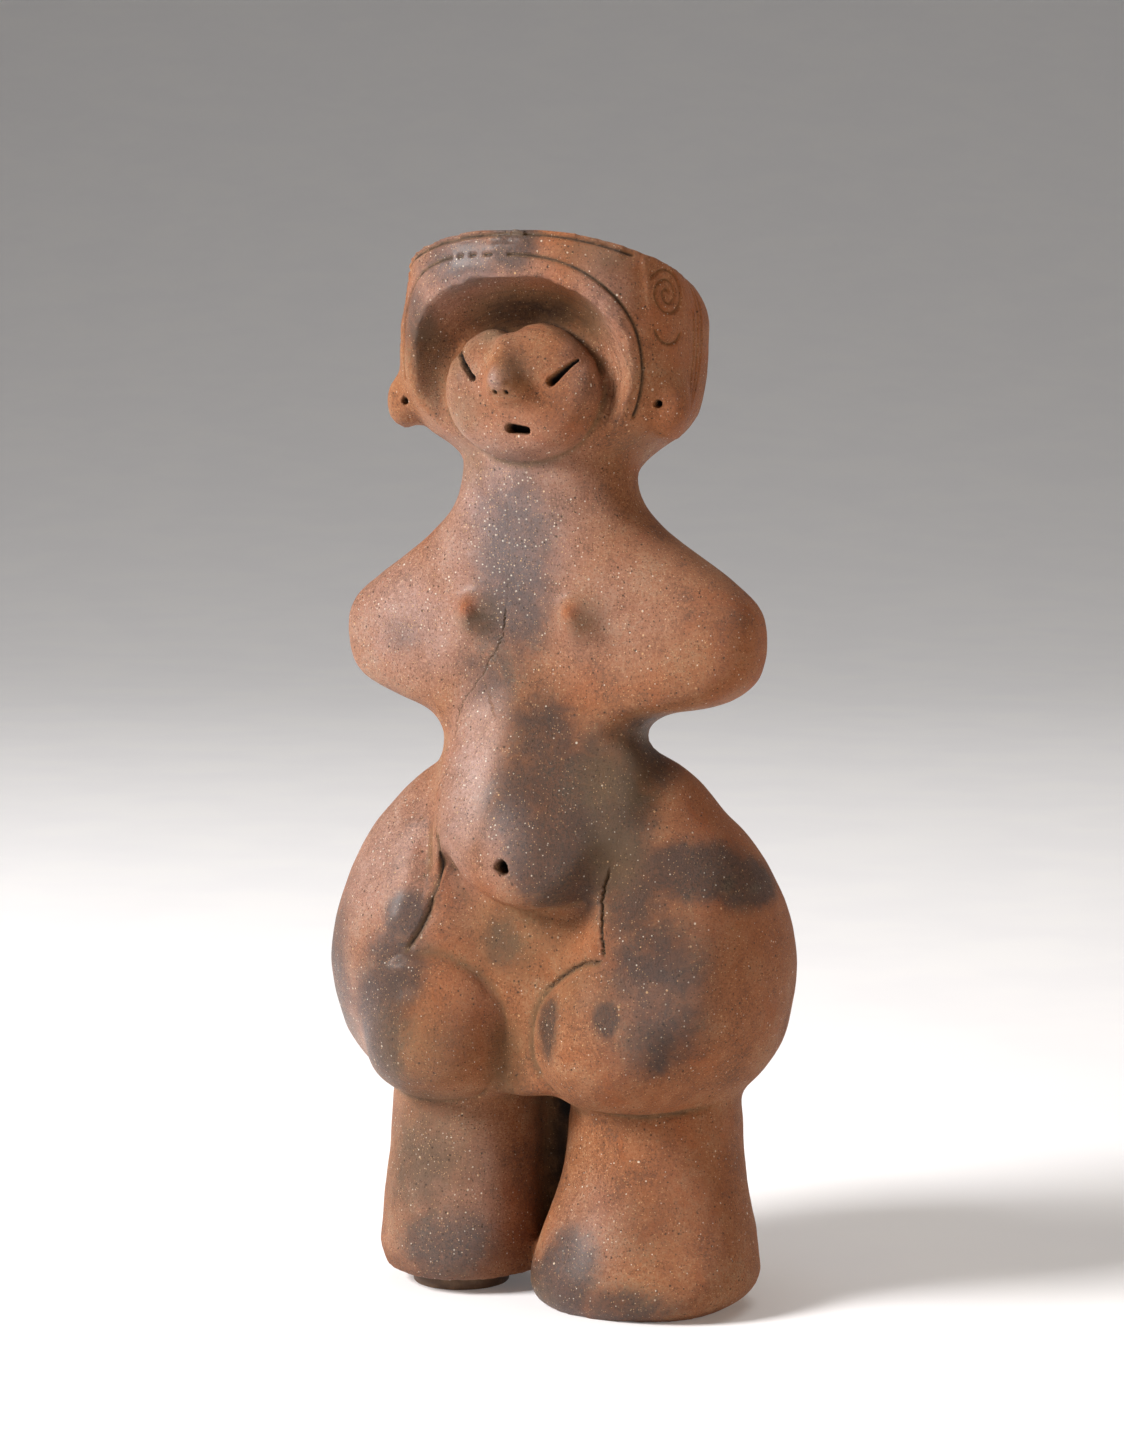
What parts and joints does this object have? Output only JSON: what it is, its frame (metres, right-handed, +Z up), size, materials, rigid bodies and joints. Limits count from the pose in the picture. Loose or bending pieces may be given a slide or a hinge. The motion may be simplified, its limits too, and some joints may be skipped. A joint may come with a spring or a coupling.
{
  "type": "clay figurine",
  "caption": "Standing fired-clay figure of a woman with a flat-topped incised headdress, stub arms, swelling hips and stout legs, levelled by a thin round pad under one foot.",
  "frame": {"origin": "on the ground, at the middle of the outline of the figure and its pad", "axes": "+Z up from the soles to the crown, -Y the way the figure faces, +X towards the figure's own left hand"},
  "size_m": [0.1228, 0.08, 0.2695],
  "materials": {
    "fired_clay": "low-fired orange-brown clay with mica specks, grey fire clouds and a worn burnish",
    "brown_leather": "smooth dark brown"
  },
  "bodies": {
    "root": {"figurine": "fired_clay", "levelling_pad": "brown_leather"}
  },
  "joints": []
}
